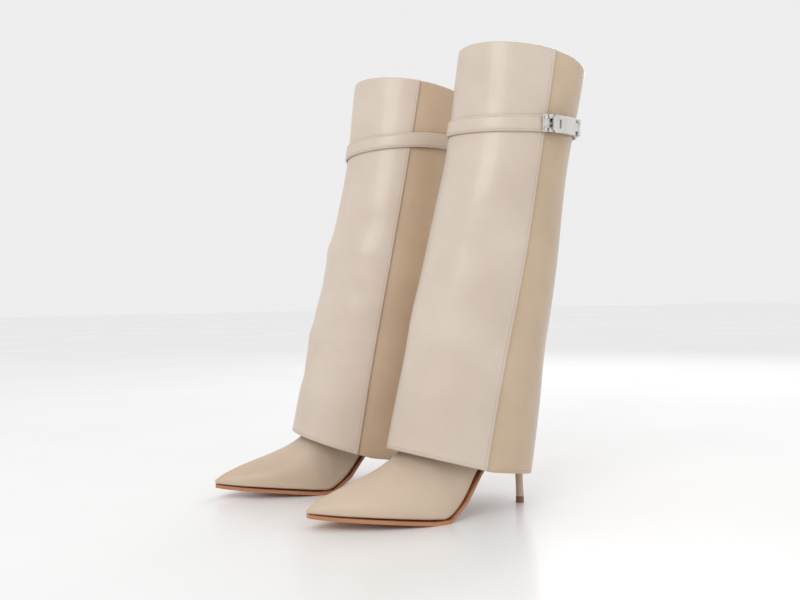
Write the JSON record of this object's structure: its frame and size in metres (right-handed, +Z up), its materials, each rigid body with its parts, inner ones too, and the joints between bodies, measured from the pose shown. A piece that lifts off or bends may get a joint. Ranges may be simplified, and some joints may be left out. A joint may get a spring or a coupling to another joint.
{
  "type": "pair of knee-high boots",
  "caption": "Pair of knee-high boots with pointed toes, slim high heels, fold-over leather covers and a strap closed by a metal turn-lock on each outer side.",
  "frame": {"origin": "on the floor, in the middle of the pair's box", "axes": "+Z up; toes towards -Y; +X towards the wearer's left"},
  "size_m": [0.296, 0.3532, 0.4599],
  "materials": {
    "cover_leather": "smooth semi-matte beige leather",
    "upper_leather": "smooth semi-matte beige leather",
    "lining_leather": "matte tan lining leather",
    "sole_leather": "burnished tan sole leather",
    "heel_tip": "matte brown heel tip",
    "stiffener_board": "raw fibre board",
    "heel_plastic": "moulded heel plastic",
    "steel": "plain steel",
    "polished_metal": "polished plated metal"
  },
  "bodies": {
    "left_boot": {"left_foot_upper": "upper_leather", "left_toe_puff": "stiffener_board", "left_heel_counter": "stiffener_board", "left_foot_lining": "lining_leather", "left_outsole": "sole_leather", "left_shank": "steel", "left_insole_board": "stiffener_board", "left_sock_lining": "lining_leather", "left_heel_core": "heel_plastic", "left_heel_wrap": "upper_leather", "left_heel_tip": "heel_tip", "left_heel_pin": "steel", "left_heel_screw": "steel", "left_leg_shaft": "upper_leather", "left_leg_lining": "lining_leather", "left_cover_front": "cover_leather", "left_cover_back": "cover_leather", "left_strap": "cover_leather", "left_keeper_plate": "polished_metal", "left_keeper_rivet_upper": "polished_metal", "left_keeper_rivet_lower": "polished_metal", "left_hinge_pin": "steel", "left_hinge_bracket": "polished_metal", "left_bracket_rivet_upper": "polished_metal", "left_bracket_rivet_lower": "polished_metal"},
    "left_lock_toggle": {"left_toggle": "polished_metal"},
    "left_lock_hasp": {"left_hasp": "polished_metal"},
    "right_boot": {"right_foot_upper": "upper_leather", "right_toe_puff": "stiffener_board", "right_heel_counter": "stiffener_board", "right_foot_lining": "lining_leather", "right_outsole": "sole_leather", "right_shank": "steel", "right_insole_board": "stiffener_board", "right_sock_lining": "lining_leather", "right_heel_core": "heel_plastic", "right_heel_wrap": "upper_leather", "right_heel_tip": "heel_tip", "right_heel_pin": "steel", "right_heel_screw": "steel", "right_leg_shaft": "upper_leather", "right_leg_lining": "lining_leather", "right_cover_front": "cover_leather", "right_cover_back": "cover_leather", "right_strap": "cover_leather", "right_keeper_plate": "polished_metal", "right_keeper_rivet_upper": "polished_metal", "right_keeper_rivet_lower": "polished_metal", "right_hinge_pin": "steel", "right_hinge_bracket": "polished_metal", "right_bracket_rivet_upper": "polished_metal", "right_bracket_rivet_lower": "polished_metal"},
    "right_lock_toggle": {"right_toggle": "polished_metal"},
    "right_lock_hasp": {"right_hasp": "polished_metal"}
  },
  "joints": [
    {"name": "right_boot_lift", "type": "slide", "parent": "left_boot", "child": "right_boot", "axis": [0, 0, 1], "range_m": [0, 0.55]},
    {"name": "left_toggle_turn", "type": "hinge", "parent": "left_boot", "child": "left_lock_toggle", "pos_m": [0.14006, 0.10674, 0.37814], "axis": [0.9881, 0.1244, -0.0908], "range_deg": [0, 90]},
    {"name": "left_hasp_open", "type": "hinge", "parent": "left_boot", "child": "left_lock_hasp", "pos_m": [0.12606, 0.14623, 0.37933], "axis": [0.0913, 0.0023, 0.9958], "range_deg": [0, 105]},
    {"name": "right_toggle_turn", "type": "hinge", "parent": "right_boot", "child": "right_lock_toggle", "pos_m": [-0.13997, 0.05833, 0.37814], "axis": [-0.9802, 0.1759, -0.0908], "range_deg": [0, 90]},
    {"name": "right_hasp_open", "type": "hinge", "parent": "right_boot", "child": "right_lock_hasp", "pos_m": [-0.12392, 0.09703, 0.37933], "axis": [0.091, -0.0071, -0.9958], "range_deg": [0, 105]}
  ]
}
